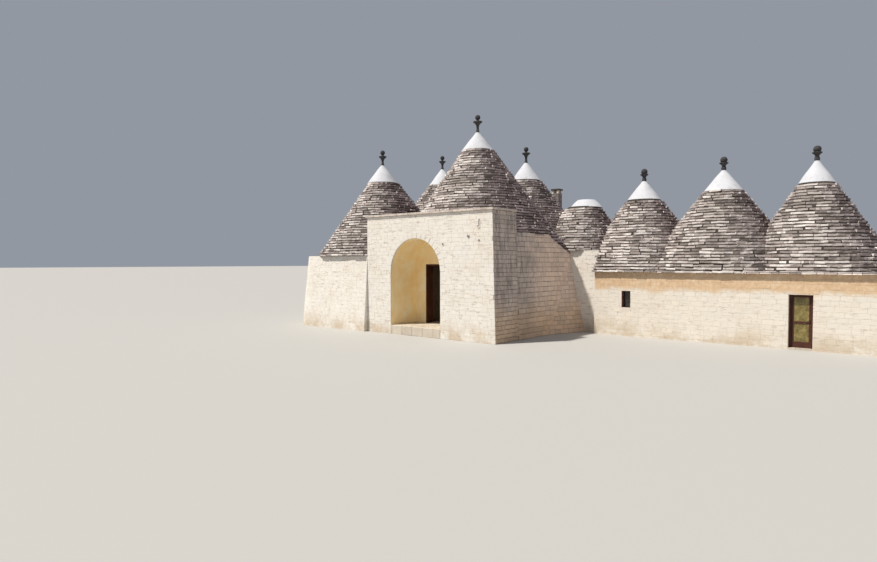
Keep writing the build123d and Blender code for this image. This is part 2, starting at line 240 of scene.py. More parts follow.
slab_stone, r = finish_of("weathered_slabs", 0.9)
fine = r.noise(14.0, 5.0, 0.65)
wide = r.noise(0.9, 3.0, 0.6)
lichen = r.noise(3.2, 5.0, 0.7)
stone = r.ramp(
    r.clamp(r.attribute("tone") * 0.72 + fine * 0.36 + wide * 0.4 - 0.24),
    (0.0, (0.15, 0.125, 0.112)),
    (0.3, (0.38, 0.33, 0.305)),
    (0.55, (0.60, 0.535, 0.50)),
    (0.8, (0.84, 0.775, 0.735)),
    (1.0, (0.93, 0.88, 0.84)),
)
stone = r.mix(r.between(lichen, 0.55, 0.70) * 0.6, stone, (0.13, 0.11, 0.11, 1))
rust = r.between(r.noise(5.5, 4.0), 0.60, 0.70)
stone = r.mix(rust * 0.3, stone, (0.58, 0.48, 0.33, 1))
# Painted shade: the sides facing away from the sun, towards +X and a little +Y, are multiplied down to a
# darker purple-grey, as they would look in shade.
facing = r.facing()
wear_and_painted_shade = r.between(facing["X"] + facing["Y"] * 0.35, -0.1, 0.95)
stone = r.mix(wear_and_painted_shade * 0.9, stone, (0.42, 0.355, 0.40, 1), "MULTIPLY")
r.feed(Base_Color=stone, Height=(fine + r.noise(45.0, 4.0) * 0.4, 0.6, 0.02))

# Painted shade: the packing is coloured near black so that the gaps between the slab courses read as deep
# shade.
packing_painted_shade, r = finish_of("dark_packing", 0.95)
chips = r.noise(9.0, 4.0, 0.7)
r.feed(
    Base_Color=r.ramp(chips, (0.25, (0.022, 0.018, 0.016)), (0.75, (0.085, 0.07, 0.06))),
    Height=(chips, 0.8, 0.04),
)

main_eave = 4.55
left_eave = 3.60
link_eave = 3.85
wing_eave = 2.85
course_rise = 0.13
roofs = {
    # axis x, axis y, apex level, lowest course, top of the slabs, spread, and the free
    # sides that the slabs stop at: low x, high x, low y, high y
    "main_roof": (-3.745, -1.665, 9.74, 3.686, 8.66, 0.715, (None, 0.045, None, None)),
    "left_roof": (-9.215, -2.765, 8.50, left_eave, 7.42, 0.745, (-12.495, None, -5.945, None)),
    "rear_left_roof": (-9.215, 2.235, 8.86, left_eave, 7.78, 0.75, (-12.495, None, None, 6.015)),
    "rear_roof": (-3.615, 2.585, 8.71, main_eave, 7.63, 0.75, (None, None, None, 6.015)),
    "link_roof": (-0.375, 3.235, 7.10, link_eave, 6.03, 0.82, (None, 1.298, 0.555, 6.015)),
    "wing_left_roof": (2.645, 3.235, 7.30, wing_eave, 6.22, 0.75, (1.42, None, 0.155, 6.015)),
    "wing_middle_roof": (6.235, 3.235, 7.48, wing_eave, 6.38, 0.75, (None, None, 0.155, 6.015)),
    "wing_right_roof": (9.785, 3.235, 7.51, wing_eave, 6.44, 0.63, (None, 13.065, 0.155, 6.015)),
}
packed_cones = {
    # foot level, top level, sides, and how far it runs past its valley with another cone
    "main_roof": (main_eave, 8.78, (-7.205, -0.005, -4.92, None), {"rear_roof": 0.25}),
    "left_roof": (left_eave, 7.47, (-12.445, -7.26, -5.895, None), {"rear_left_roof": 0.15}),
    "link_roof": (
        link_eave, 6.13, (-1.88, 1.25, 0.605, 5.965), {"main_roof": -0.0557343, "rear_roof": 0.4}
    ),
    "wing_middle_roof": (
        wing_eave, 6.43, (None, None, 0.205, 5.965), {"wing_left_roof": 0.0, "wing_right_roof": 0.4}
    ),
    "wing_right_roof": (wing_eave, 6.49, (None, None, 0.205, 5.965), {"wing_middle_roof": 0.1}),
}
# How far the axis of a cone that has settled to one side moves for each metre down.
leans = {
    "main_roof": (0.030, 0.0, 0.0),
    "left_roof": (0.045, 0.035, 0.0),
    "link_roof": (-0.091, -0.0765, 0.0),
}
# The right-hand side wall falls from this place back, by this much to the metre, and
# the main roof comes down over it.
shoulder_y = -1.38
shoulder_fall = 0.4255


def new_tree(name, inputs, result):
    """A Geometry Nodes tree with these named inputs, its recipe and its inputs."""
    tree = bpy.data.node_groups.new(name, "GeometryNodeTree")
    for kind, names in inputs.items():
        for socket_name in names:
            tree.interface.new_socket(socket_name, in_out="INPUT", socket_type="NodeSocket" + kind)
    tree.interface.new_socket(result, in_out="OUTPUT", socket_type="NodeSocketGeometry")
    recipe = Recipe(tree)
    return tree, recipe, recipe.node("NodeGroupInput")


def course_points(recipe, given):
    """One point for each course, one above the other."""
    foot = recipe.point(Z=given["Foot level"])
    rise = recipe.point(Z=given["Course rise"])
    sockets = {"Count": given["Courses"], "Start Location": foot, "Offset": rise}
    line = recipe.node("GeometryNodeMeshLine", sockets, mode="OFFSET")
    return recipe.on(line, "MeshToPoints")


slab_tree, g, given = new_tree(
    "slab_courses",
    {
        "Object": ["Packing"],
        "Vector": ["Axis", "Lean", "Low sides", "High sides"],
        "Float": ["Foot level", "Course rise", "Spread", "Slab length", "Slab thickness"],
        "Int": ["Courses", "Seed"],
        "Material": ["Stone"],
    },
    "Slabs",
)
apex, lean, low, high = [
    g.split(given[name]) for name in ("Axis", "Lean", "Low sides", "High sides")
]
seed = given["Seed"]
spot = g.split(g.node("GeometryNodeInputPosition"))
drop = apex["Z"] - spot["Z"]
axis_x = apex["X"] + lean["X"] * drop
axis_y = apex["Y"] + lean["Y"] * drop
radius = drop * given["Spread"]
slabs_round = (radius * math.tau / given["Slab length"]).maths("ROUND")
course = ((spot["Z"] - given["Foot level"]) / given["Course rise"]).maths("ROUND")
slabs = course_points(g, given)
slabs = g.on(slabs, "DuplicateElements", {"Amount": slabs_round}, domain="POINT")
shift = g.chance(0.0, 1.0, seed, course)
wander = g.chance(-0.22, 0.22, seed + 1)
angle = (slabs["Duplicate Index"] + shift + wander) / slabs_round * math.tau
angle_cos = angle.maths("COSINE")
angle_sin = angle.maths("SINE")


def side_reach(direction, low_side, high_side, centre):
    """How far along this direction the free side lies."""
    up = direction > 0
    side = up * high_side + (1 - up) * low_side
    return (side - centre).maths("ABSOLUTE") / direction.maths("ABSOLUTE").most(0.001)


reach_x = side_reach(angle_cos, low["X"], high["X"], axis_x)
reach_y = side_reach(angle_sin, low["Y"], high["Y"], axis_y)
reach = reach_x.least(reach_y)
proud = g.chance(-0.004, 0.024, seed + 2)
free_radius = radius + proud
held = reach < free_radius
kept_radius = free_radius.least(reach - 0.024 + proud)
facing_x = angle_cos.maths("ARCTAN2", 0.0, angle_cos)
facing_y = angle_sin.maths("ARCTAN2", angle_sin, 0.0)
on_x = reach_x < reach_y
flat_facing = on_x * facing_x + (1 - on_x) * facing_y
slabs = g.stored(slabs, "facing", held * flat_facing + (1 - held) * angle)
slab_spot = g.point(
    X=axis_x + kept_radius * angle_cos,
    Y=axis_y + kept_radius * angle_sin,
    Z=spot["Z"] + g.chance(-0.010, 0.010, seed + 3),
)
slabs = g.on(slabs, "SetPosition", {"Position": slab_spot})
bed = g.node("GeometryNodeObjectInfo", {"Object": given["Packing"]})["Geometry"]
off_bed = g.on(bed, "Proximity", target_element="FACES")["Distance"]
slabs = g.on(slabs, "DeleteGeometry", {"Selection": off_bed > 0.10}, domain="POINT")
slab_depth = 0.26
thickness = given["Slab thickness"]
slab_size = g.point(X=slab_depth, Y=given["Slab length"] * 1.04, Z=thickness)
counts = {"Vertices X": 2, "Vertices Y": 4, "Vertices Z": 2}
slab = g.on(slab_size, "MeshCube", counts)
edge_at_point = g.point(X=-slab_depth / 2, Z=thickness * 0.5)
slab = g.on(slab, "Transform", {"Translation": edge_at_point})
tilt_x, tilt_y = g.chance(-0.05, 0.05, seed + 4), g.chance(0.0, 0.12, seed + 5)
turned = g.point(X=tilt_x, Y=tilt_y, Z=g.kept("facing"))
longer, thicker = g.chance(0.94, 1.20, seed + 6), g.chance(0.84, 1.14, seed + 7)
scaled = g.point(X=1.0, Y=longer, Z=thicker)
sockets = {"Instance": slab, "Rotation": turned, "Scale": scaled}
laid = g.on(slabs, "InstanceOnPoints", sockets)
laid = g.stored(laid, "tone", g.chance(0.0, 1.0, seed + 8), "INSTANCE")
laid = g.on(laid, "RealizeInstances")
here = g.node("GeometryNodeInputPosition")
rough = g.node("ShaderNodeTexNoise", {"Vector": here, "Scale": 5.5, "Detail": 2.0})["Color"]
rough = g.vectors("SUBTRACT", rough, (0.5, 0.5, 0.5))
rough = g.vectors("MULTIPLY", rough, (0.075, 0.075, 0.03))
moved = g.vectors("ADD", here, rough)
moved = g.vectors("MAXIMUM", moved, given["Low sides"])
moved = g.vectors("MINIMUM", moved, given["High sides"])
laid = g.on(laid, "SetPosition", {"Position": moved})
laid = g.on(laid, "SetMaterial", {"Material": given["Stone"]})
g.node("NodeGroupOutput", {"Slabs": laid})


def grown(name, tree, values):
    """The plain mesh piece of the house that a tree makes from these values."""
    host = linked(name + "_host", bpy.data.meshes.new(name + "_host"))
    modifier = host.modifiers.new(name, "NODES")
    modifier.node_group = tree
    sockets = {
        item.name: item.identifier
        for item in tree.interface.items_tree
        if item.item_type == "SOCKET" and item.in_out == "INPUT"
    }
    for key, value in values.items():
        modifier[sockets[key]] = value
    bpy.context.view_layer.update()
    evaluated = host.evaluated_get(bpy.context.evaluated_depsgraph_get())
    mesh = bpy.data.meshes.new_from_object(evaluated)
    mesh.name = name
    host.modifiers.remove(modifier)
    bpy.data.objects.remove(host)
    piece = linked(name, mesh)
    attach(piece, "house")
    return piece


def finished(shape, name, material, smooth=None, body="house"):
    """The piece made from a mesh in the making, riding on its body."""
    mesh = bpy.data.meshes.new(name)
    bmesh.ops.recalc_face_normals(shape, faces=shape.faces)
    shape.to_mesh(mesh)
    shape.free()
    if smooth:
        mesh.shade_smooth()
        mesh.set_sharp_from_angle(angle=math.radians(smooth))
    mesh.materials.append(material)
    piece = linked(name, mesh)
    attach(piece, body)
    return piece


def packed(roof, sides, inset):
    """The cone of the CAD roof, kept this far inside the free sides of the slabs."""
    shape = bmesh.new()
    shape.from_mesh(nodes[roof].data)
    bmesh.ops.remove_doubles(shape, verts=shape.verts, dist=0.0002)
    low_x, high_x, low_y, high_y = sides
    for point in shape.verts:
        if low_x is not None:
            point.co.x = max(point.co.x, low_x + inset)
        if high_x is not None:
            point.co.x = min(point.co.x, high_x - inset)
        if low_y is not None:
            point.co.y = max(point.co.y, low_y + inset)
        if high_y is not None:
            point.co.y = min(point.co.y, high_y - inset)
    return shape


def bridge(shape, first, second):
    """Joins two rings of the same number of points by four-sided faces."""
    for here in range(len(first)):
        after = (here + 1) % len(first)
        shape.faces.new((first[here], first[after], second[after], second[here]))


def add_rings(shape, rings):
    """Adds a form of rings of places one after the other, and gives its two end faces."""
    rings = [[shape.verts.new(place) for place in ring] for ring in rings]
    for near, far in zip(rings, rings[1:]):
        bridge(shape, near, far)
    return [shape.faces.new(list(reversed(rings[0]))), shape.faces.new(rings[-1])]


def add_cut_cone(shape, cone, foot, top, planes, lean):
    """Adds a cone between two levels, cut by planes: a point and an outward normal each."""
    x, y, apex, spread = cone
    sides = 64
    cut = bmesh.new()
    rings = []
    for level in (foot, top):
        drop = apex - level
        ring = []
        for step in range(sides):
            turn = math.tau * step / sides
            point_x = x + lean[0] * drop + math.cos(turn) * drop * spread
            point_y = y + lean[1] * drop + math.sin(turn) * drop * spread
            ring.append((point_x, point_y, level))
        rings.append(ring)
    add_rings(cut, rings)
    for point, normal in planes:
        parts = cut.verts[:] + cut.edges[:] + cut.faces[:]
        done = bmesh.ops.bisect_plane(
            cut, geom=parts, plane_co=point, plane_no=normal, clear_outer=True
        )
        edges = [part for part in done["geom_cut"] if isinstance(part, bmesh.types.BMEdge)]
        bmesh.ops.contextual_create(cut, geom=edges)
    cut.normal_update()
    bmesh.ops.triangulate(cut, faces=cut.faces)
    copied = [shape.verts.new(point.co) for point in cut.verts]
    cut.verts.index_update()
    for face in cut.faces:
        shape.faces.new([copied[point.index] for point in face.verts])
    cut.free()


def side_planes(sides):
    """The planes at the low x, high x, low y and high y sides that are given."""
    planes = []
    for (x, y), side in zip([(-1, 0), (1, 0), (0, -1), (0, 1)], sides):
        if side is not None:
            planes.append((Vector((abs(x), abs(y), 0)) * side, Vector((x, y, 0))))
    return planes


def valley(cone, other, past):
    """The plane along which the cone meets another, or so far past it."""
    apart = Vector((other[0] - cone[0], other[1] - cone[1], 0.0))
    steep, other_steep = 1 / cone[3], 1 / other[3]
    share = (cone[2] - other[2] + apart.length * other_steep) / (steep + other_steep)
    return Vector((cone[0], cone[1], 0.0)) + apart.normalized() * (share + past), apart


cones = {roof: (values[0], values[1], values[2], values[5]) for roof, values in roofs.items()}
beyond = 99.0
for number, (roof, (x, y, apex, eave, top, spread, sides)) in enumerate(roofs.items()):
    lean = leans.get(roof, (0.0, 0.0, 0.0))
    if roof in packed_cones:
        foot, packing_top, packing_sides, others = packed_cones[roof]
        planes = side_planes(packing_sides)
        planes += [valley(cones[roof], cones[other], past) for other, past in others.items()]
        shape = bmesh.new()
        add_cut_cone(shape, cones[roof], foot, packing_top, planes, lean)
    else:
        shape = packed(roof, sides, inset=0.05)
    if roof == "main_roof":
        planes = side_planes((-0.415, -0.005, None, 0.535))
        planes.append((Vector((0, shoulder_y, main_eave)), Vector((0, -shoulder_fall, -1))))
        add_cut_cone(shape, cones[roof], 3.6, main_eave + 0.07, planes, lean)
    bed = finished(shape, roof + "_packing", packing_painted_shade)
    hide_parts(roof)
    low_x, low_y = [-beyond if side is None else side for side in sides[::2]]
    high_x, high_y = [beyond if side is None else side for side in sides[1::2]]
    grown(
        roof + "_slabs",
        slab_tree,
        {
            "Packing": bed,
            "Axis": (x, y, apex),
            "Foot level": eave + 0.012,
            "Courses": int((top - eave) / course_rise) + 1,
            "Course rise": course_rise,
            "Spread": spread,
            "Lean": lean,
            "Slab length": 0.40,
            "Slab thickness": 0.077,
            "Low sides": (low_x, low_y, 0.0),
            "High sides": (high_x, high_y, beyond),
            "Stone": slab_stone,
            "Seed": 40 + 20 * number,
        },
    )


# Plastered caps: each cone ends in a smooth lime-plastered top, trowelled over
# the last courses by hand and whitewashed every year; rain has greyed its foot.
def turned_piece(shape, outline, centre, sides, wobble, seed):
    """Adds a turned form: radii and levels from foot to top, closed at both ends."""
    rings = []
    for radius, level in outline:
        ring = []
        for step in range(sides):
            angle = math.tau * step / sides
            place = Vector((math.cos(angle) * radius, math.sin(angle) * radius, level))
            swing = wobble * noise.noise(place * 2.3 + Vector((seed, 0, 0)))
            scale = 1 + swing / max(radius, 0.1)
            ring.append((centre[0] + place.x * scale, centre[1] + place.y * scale, level))
        rings.append(ring)
    add_rings(shape, rings)


cap_plaster, r = finish_of("cap_plaster", 0.75)
low_down = 1 - r.between(r.attribute("above_foot"), 0.0, 0.55)
mottle = r.noise(3.0, 5.0, 0.65)
runs = r.noise(1.0, 3.0, stretch=(9.0, 9.0, 0.8))
greyed = r.between(mottle, 0.42, 0.72) * 0.45
white = r.mix(greyed, (0.60, 0.605, 0.635, 1), (0.47, 0.47, 0.49, 1))
white = r.mix(r.between(runs, 0.52, 0.70) * low_down * 0.5, white, (0.40, 0.38, 0.36, 1))
r.feed(Base_Color=white, Height=(mottle + r.noise(30.0, 3.0) * 0.3, 0.4, 0.02))

caps = {
    # foot level, foot radius, tip level, tip radius
    "main_roof": (8.72, 0.775, 9.667, 0.055),
    "left_roof": (7.48, 0.80, 8.49, 0.055),
    "rear_left_roof": (7.84, 0.79, 8.87, 0.055),
    "rear_roof": (7.69, 0.79, 8.71, 0.055),
    "link_roof": (6.09, 0.82, 6.50, 0.46),
    "wing_left_roof": (6.28, 0.775, 7.25, 0.055),
    "wing_middle_roof": (6.44, 0.81, 7.43, 0.055),
    "wing_right_roof": (6.50, 0.66, 7.48, 0.055),
}
shape = bmesh.new()
for number, (roof, (foot, radius, tip, tip_radius)) in enumerate(caps.items()):
    outline = [(radius - 0.16, foot + 0.005), (radius - 0.02, foot), (radius, foot + 0.02)]
    for step in range(1, 13):
        up = step / 12
        swell = 0.012 * math.sin(math.pi * up)
        level = foot + 0.02 + (tip - foot - 0.035) * up
        outline.append((radius + (tip_radius - radius) * up + swell, level))
    outline.append((max(tip_radius - 0.012, 0.02), tip - 0.004))
    if tip_radius > 0.3:
        outline += [(tip_radius * 0.6, tip), (tip_radius * 0.2, tip)]
    turned_piece(shape, outline, roofs[roof][:2], sides=40, wobble=0.022, seed=3.7 * number)
above_foot = shape.verts.layers.float.new("above_foot")
for point in shape.verts:
    roof = min(caps, key=lambda roof: (point.co.xy - Vector(roofs[roof][:2])).length)
    point[above_foot] = point.co.z - caps[roof][0]
plaster_caps = finished(shape, "plaster_caps", cap_plaster, smooth=50)
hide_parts("roof_caps")


# Pinnacles: turned and carved from one block of limestone each, set in the
# plaster of the cap; they have gone dark grey with weather and lichen. Those of
# the main block carry a thin disc and a ball, those of the wing a cup and ball.
dark_stone, r = finish_of("pinnacle_stone", 0.85)
rough = r.noise(11.0, 5.0, 0.7)
dark, middle, light = (0.028, 0.027, 0.030), (0.055, 0.052, 0.054), (0.12, 0.11, 0.105)
stone = r.ramp(rough, (0.3, dark), (0.55, middle), (0.8, light))
lichen = r.between(r.noise(26.0, 3.0), 0.58, 0.70)
r.feed(Base_Color=r.mix(lichen * 0.5, stone, (0.22, 0.20, 0.15, 1)), Height=(rough, 0.7, 0.012))


def ball_over(outline, radius, steps=9):
    """Ends an outline in a ball that sits on its last ring."""
    seat, level = outline[-1]
    first = math.asin(seat / radius)
    centre = level + radius * math.cos(first)
    for step in range(1, steps + 1):
        angle = first + (math.pi - first) * step / (steps + 0.4)
        outline.append((radius * math.sin(angle), centre - radius * math.cos(angle)))
    return outline


def disc_pinnacle(stem, disc, ball):
    """A waisted stem that flares under a thin disc, a short neck and a ball."""
    top = stem + 0.085
    outline = [(0.088, -0.03), (0.078, 0.02), (0.062, stem * 0.25), (0.058, stem * 0.45)]
    outline += [(0.066, stem * 0.62), (0.092, stem * 0.8), (disc * 0.62, stem - 0.02)]
    outline += [(disc * 0.88, stem + 0.022), (disc, stem + 0.04), (disc, top - 0.016)]
    outline += [(disc - 0.016, top), (0.12, top + 0.008), (0.080, top + 0.024)]
    outline += [(0.062, top + 0.05), (0.064, top + 0.078)]
    return ball_over(outline, ball)


def cup_pinnacle():
    """A short foot that opens into a cup, with a ball in it."""
    outline = [(0.100, -0.03), (0.106, 0.03), (0.098, 0.076), (0.080, 0.12), (0.080, 0.155)]
    outline += [(0.095, 0.185), (0.135, 0.22), (0.172, 0.25), (0.188, 0.27), (0.188, 0.29)]
    outline += [(0.174, 0.298), (0.125, 0.292), (0.100, 0.30)]
    return ball_over(outline, 0.15)


shape = bmesh.new()
low_disc = disc_pinnacle(0.36, 0.207, 0.127)
for roof, outline in [
    ("main_roof", disc_pinnacle(0.41, 0.225, 0.128)),
    ("rear_roof", disc_pinnacle(0.41, 0.225, 0.130)),
    ("left_roof", low_disc),
    ("rear_left_roof", low_disc),
    ("wing_left_roof", cup_pinnacle()),
    ("wing_middle_roof", cup_pinnacle()),
    ("wing_right_roof", cup_pinnacle()),
]:
    centre = roofs[roof][:2]
    tip = caps[roof][2]
    outline = [(radius, tip + level) for radius, level in outline]
    turned_piece(shape, outline, centre, sides=24, wobble=0.006, seed=centre[0])
carved = finished(shape, "carved_pinnacles", dark_stone, smooth=40)
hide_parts("pinnacles")


# Walls: two faces of squared limestone laid in courses with rubble between. The
# fronts are limewashed every year, so their joints show only faintly; the shaded
# sides of the main block are left bare. The CAD walls are the core behind them.
def toned(recipe, low, high):
    """A grey from the stone's own tone, to multiply its colour by."""
    return recipe.ramp(
        recipe.attribute("tone"), (0.0, (low, low, low)), (1.0, (high, high * 0.985, high * 0.96))
    )


def inside(spot, **ranges):
    """One inside these ranges of X, Y and Z, nought outside."""
    found = None
    for axis, (low, high) in ranges.items():
        here = (spot[axis] > low) * (spot[axis] < high)
        found = here if found is None else found * here
    return found


limewash, r = finish_of("limewash", 0.85)
spot = r.split(r.place)
stain = r.noise(1.1, 5.0, 0.65)
grain = r.noise(22.0, 4.0)
chips = r.noise(6.5, 5.0, 0.7)
dashes = r.noise(1.0, 4.0, 0.6, stretch=(3.2, 3.2, 17.0))
on_wing = spot["X"] > 1.5
white = r.mix(on_wing, (0.80, 0.76, 0.70, 1), (0.79, 0.735, 0.65, 1))
white = r.mix(r.between(stain, 0.45, 0.75) * 0.4, white, (0.68, 0.58, 0.46, 1))
white = r.mix(0.5, white, toned(r, 0.90, 1.0), "MULTIPLY")
white = r.mix(r.between(dashes, 0.54, 0.66) * 0.72, white, (0.54, 0.46, 0.38, 1))
white = r.mix(r.between(chips, 0.62, 0.74) * 0.3, white, (0.50, 0.40, 0.30, 1))
splash = (1 - r.between(spot["Z"], 0.05, 0.9)) * r.between(stain, 0.35, 0.6)
white = r.mix(splash * 0.55, white, (0.48, 0.36, 0.22, 1))
# Under the wing's eaves, a band of bare tan-orange stone where the limewash has worn. Its saturated
# colour is partly painted shade of the eaves' shadow.
edge = spot["Z"] + (stain - 0.5) * 0.7 + (chips - 0.5) * 0.35
worn_and_eave_shade = r.between(edge, 1.98, 2.24) * on_wing
dark, middle, light = (0.47, 0.30, 0.16), (0.64, 0.44, 0.26), (0.75, 0.595, 0.42)
bare_and_eave_shade = r.ramp(chips * 0.6 + stain * 0.4, (0.3, dark), (0.5, middle), (0.65, light))
white = r.mix(worn_and_eave_shade * 0.9, white, bare_and_eave_shade)
r.feed(Base_Color=white, Height=(grain * 0.3 + chips * 0.7, 0.5, 0.012))

bare_stone, r = finish_of("bare_limestone", 0.9)
spot = r.split(r.place)
stain = r.noise(1.3, 5.0, 0.65)
grain = r.noise(18.0, 5.0, 0.65)
streaks = r.noise(1.0, 4.0, stretch=(5.0, 5.0, 0.9))
dark, middle, light = (0.46, 0.38, 0.34), (0.58, 0.49, 0.44), (0.70, 0.62, 0.57)
stone = r.ramp(stain * 0.6 + grain * 0.4, (0.25, dark), (0.5, middle), (0.75, light))
# Painted bounce light: towards the back, the shaded side wall is lightened to a warm pink-tan, as if lit
# by light thrown back from the sunlit walls.
painted_bounce = r.between(spot["Y"] + (stain - 0.5) * 2.5, -3.5, -1.9) * (spot["X"] > -0.5)
bounce_lit_stone = r.ramp(grain, (0.3, (0.80, 0.60, 0.48)), (0.7, (0.95, 0.79, 0.68)))
stone = r.mix(painted_bounce * 0.85, stone, bounce_lit_stone)
# Painted bounce light: towards its foot the shaded side is tinted ochre, as by light thrown up from the
# ground.
low_down = 1 - r.between(spot["Z"] + (stain - 0.5) * 1.2, 0.5, 2.0)
stone = r.mix(low_down * 0.5, stone, (0.72, 0.48, 0.26, 1))
high_up = r.between(spot["Z"], 0.6, 2.4)
streaks = r.between(streaks, 0.46, 0.64) * high_up * (1 - painted_bounce * 0.8)
stone = r.mix(streaks * 0.6, stone, (0.24, 0.22, 0.215, 1))
stone = r.mix(0.85, stone, toned(r, 0.78, 1.0), "MULTIPLY")
r.feed(Base_Color=stone, Height=(grain, 0.7, 0.02))

wall_core, r = finish_of("wall_core", 0.92)
spot = r.split(r.place)
facing = r.facing()
patches = r.noise(1.7, 5.0, 0.65)
grain = r.noise(20.0, 4.0)
mortar = r.mix(patches, (0.58, 0.49, 0.39, 1), (0.70, 0.63, 0.54, 1))
bare_side = (facing["X"] > 0.6) * inside(spot, X=(-0.1, 1.0))
mortar = r.mix(bare_side, mortar, (0.27, 0.215, 0.185, 1))
# Inside the porch the core is ochre plaster, lightened almost to white-orange as painted warm bounce
# light in the porch's shade.
in_porch = inside(spot, X=(-5.72, -2.70), Y=(-5.75, -4.0), Z=(-1.0, 4.4))
dark, middle, light = (0.94, 0.70, 0.35), (0.98, 0.79, 0.46), (0.99, 0.90, 0.66)
ochre_and_painted_bounce = r.ramp(patches, (0.3, dark), (0.5, middle), (0.7, light))
wall = r.mix(in_porch, mortar, ochre_and_painted_bounce)
# Painted shade: the walls of the main room, seen through the doorway, are coloured dark brown for the
# shade inside.
in_room = inside(spot, X=(-5.6, -1.65), Y=(-3.99, 0.7), Z=(-1.0, 4.6))
painted_room_shade = r.mix(patches, (0.16, 0.12, 0.09, 1), (0.26, 0.21, 0.17, 1))
wall = r.mix(in_room, wall, painted_room_shade)
# Painted shade: the reveal of the small window is coloured a dark red-brown for the shade in it.
at_window = inside(spot, X=(2.79, 3.2), Y=(0.34, 0.7), Z=(1.26, 2.02))
wall = r.mix(at_window, wall, (0.27, 0.13, 0.10, 1))
worn_tops = r.noise(3.5, 5.0, 0.7)
slabbed = r.ramp(worn_tops, (0.3, (0.20, 0.18, 0.16)), (0.7, (0.46, 0.42, 0.37)))
wall = r.mix(facing["Z"] > 0.7, wall, slabbed)
r.feed(Base_Color=wall, Height=(patches * 0.6 + grain * 0.4, 0.5, 0.02))

for node in nodes.values():
    slot_name = node.data.materials[0].name.split(".")[0] if node.data.materials else ""
    if "limewashed" in slot_name or "bare" in slot_name:
        node.data.materials[0] = wall_core
for node_name in ("left_front_wall", "left_side_wall"):
    nodes[node_name].data.materials[0] = limewash


def add_prism(shape, outline, low, high, along="y"):
    """Adds a straight solid: an outline of places and levels, run along x or y."""
    rings = [
        [(depth, place, level) if along == "x" else (place, depth, level) for place, level in outline]
        for depth in (low, high)
    ]
    ends = add_rings(shape, rings)
    shape.normal_update()
    bmesh.ops.triangulate(shape, faces=ends)


def squared(left, right, low, high):
    """The four corners of an upright rectangle: places and levels."""
    return [(left, low), (right, low), (right, high), (left, high)]


# The cores of the walls whose forms the photograph shows more closely than the
# CAD: the facade with its porch arch, the falling side wall, the raking foot in
# the corner and the wing's corner with the small window.
facade_left, facade_right = -7.215, -0.015
facade_face, facade_back = -5.765, -4.015
facade_top = 5.4
link_face = 0.735
wing_face = 0.335
wing_corner = 1.485
wing_end = 12.885
rear_face = 5.835
corner_lean = 0.17
arch_x, arch_spring, arch_radius = -4.195, 2.88, 1.48
shape = bmesh.new()
around = [(facade_left, 0.0), (arch_x - arch_radius, 0.0)]
for step in range(49):
    turn = math.pi * step / 48
    around.append((arch_x - arch_radius * math.cos(turn), arch_spring + arch_radius * math.sin(turn)))
around += [(arch_x + arch_radius, 0.0), (0.10, 0.0), (-0.02, facade_top), (facade_left, facade_top)]
add_prism(shape, around, facade_face, facade_back)
piece = finished(shape, "facade_core", wall_core, smooth=30)
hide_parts("facade_left_pier", "facade_right_pier", "facade_arch")

shape = bmesh.new()
around = squared(-3.565, link_face, 0.0, main_eave)
around[2:3] = [
    (link_face, main_eave - shoulder_fall * (link_face - shoulder_y)), (shoulder_y, main_eave)
]
add_prism(shape, around, -0.415, facade_right, "x")
add_prism(shape, squared(-3.565, link_face, 0.0, main_eave), -1.715, -0.417, "x")
piece = finished(shape, "main_right_wall_core", wall_core)
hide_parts("main_right_wall")

shape = bmesh.new()
start, corner, foot, top = [
    shape.verts.new(place)
    for place in [(-0.016, -2.165, 0), (-0.016, 0.736, 0), (0.815, 0.736, 0), (-0.016, 0.736, 3.55)]
]
for side in [(start, corner, foot), (start, top, corner), (start, foot, top), (corner, top, foot)]:
    shape.faces.new(side)
piece = finished(shape, "corner_buttress_core", wall_core)
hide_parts("corner_buttress")

shape = bmesh.new()
for low_x, high_x, low_z, high_z, front, back in [
    (wing_corner, 2.795, 0.0, wing_eave, wing_face, 1.435),
    (3.195, 4.985, 0.0, wing_eave, wing_face, 1.435),
    (2.795, 3.195, 0.0, 1.27, wing_face, 1.435),
    (2.795, 3.195, 2.01, wing_eave, wing_face, 1.435),
    (1.085, wing_corner, 0.0, link_eave, link_face, 1.435),
    (1.085, wing_corner, wing_eave, link_eave, 1.435, rear_face),
]:
    add_prism(shape, squared(low_x, high_x, low_z, high_z), front, back)
piece = finished(shape, "wing_corner_core", wall_core)
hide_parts("wing_front_wall_left")


# One squared stone, seen from its face: a flat with a worn arris all round, two
# panels long. Its x runs along the wall, y out of it and z up, each to one. The
# courses on the faces of the walls are laid with it.
shape = bmesh.new()
grid = {}
for depth, edge in ((0.0, 1.0), (0.5, 1.0), (1.0, 0.9)):
    for across in (-1, 0, 1):
        for up in (-1, 1):
            grid[depth, across, up] = shape.verts.new((across * edge, depth, up * edge))
outline = [(-1, -1), (0, -1), (1, -1), (1, 1), (0, 1), (-1, 1)]
for near, far in ((0.0, 0.5), (0.5, 1.0)):
    bridge(shape, [grid[(near, *place)] for place in outline], [grid[(far, *place)] for place in outline])
for depth in (0.0, 1.0):
    for left in (-1, 0):
        shape.faces.new([grid[(depth, *place)] for place in squared(left, left + 1, -1, 1)])
bmesh.ops.recalc_face_normals(shape, faces=shape.faces)
stone_mesh = bpy.data.meshes.new("squared_stone")
shape.to_mesh(stone_mesh)
shape.free()
squared_stone = linked("squared_stone", stone_mesh)

